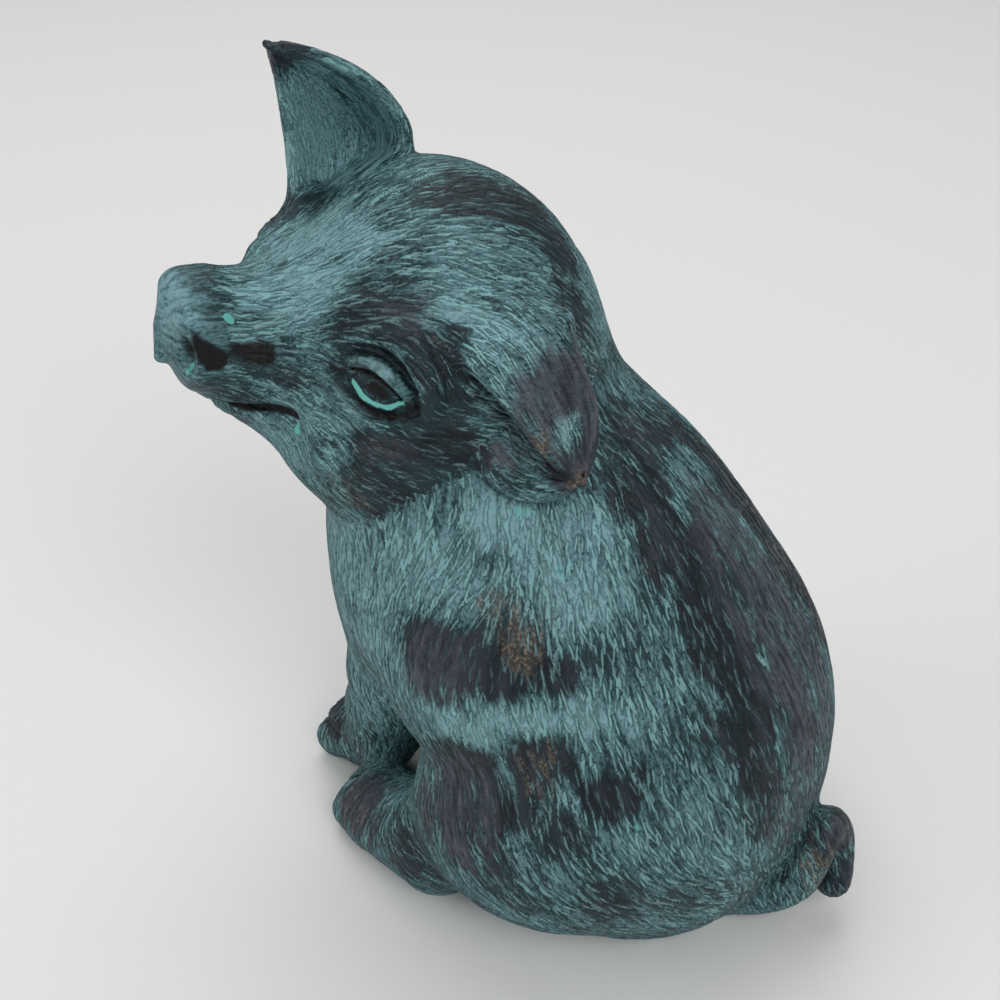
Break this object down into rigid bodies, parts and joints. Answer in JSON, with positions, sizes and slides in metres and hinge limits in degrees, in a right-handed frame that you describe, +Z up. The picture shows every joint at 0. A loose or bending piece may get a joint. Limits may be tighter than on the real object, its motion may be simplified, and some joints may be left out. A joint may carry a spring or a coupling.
{
  "type": "piglet figurine",
  "caption": "Sitting piglet figurine with its head turned to the side, a folded ear, a raised ear and a curled tail, cast hollow in sections with a brushed verdigris finish.",
  "frame": {"origin": "on the floor plane under the body, on the body's middle plane, on the felt pad's underside", "axes": "+Z up, -Y the way the body faces, +X to the animal's left"},
  "size_m": [0.1056, 0.1425, 0.1754],
  "materials": {
    "patina": "brushed verdigris over dark bronze, rubbed through to brown gold in places",
    "pin_steel": "plain turned rod",
    "plate_brass": "dull rolled sheet",
    "felt": "dark felt"
  },
  "bodies": {
    "root": {"torso_shell": "patina", "head_shell": "patina", "ear_left": "patina", "ear_right": "patina", "tail": "patina", "foreleg_left": "patina", "foreleg_right": "patina", "hind_foot_left": "patina", "hind_foot_right": "patina", "neck_dowel": "pin_steel", "ear_pin_left": "pin_steel", "ear_pin_right": "pin_steel", "tail_pin": "pin_steel", "foreleg_pin_left": "pin_steel", "foreleg_pin_right": "pin_steel", "hind_foot_pin_left": "pin_steel", "hind_foot_pin_right": "pin_steel", "base_plate": "plate_brass", "felt_pad": "felt"}
  },
  "joints": []
}
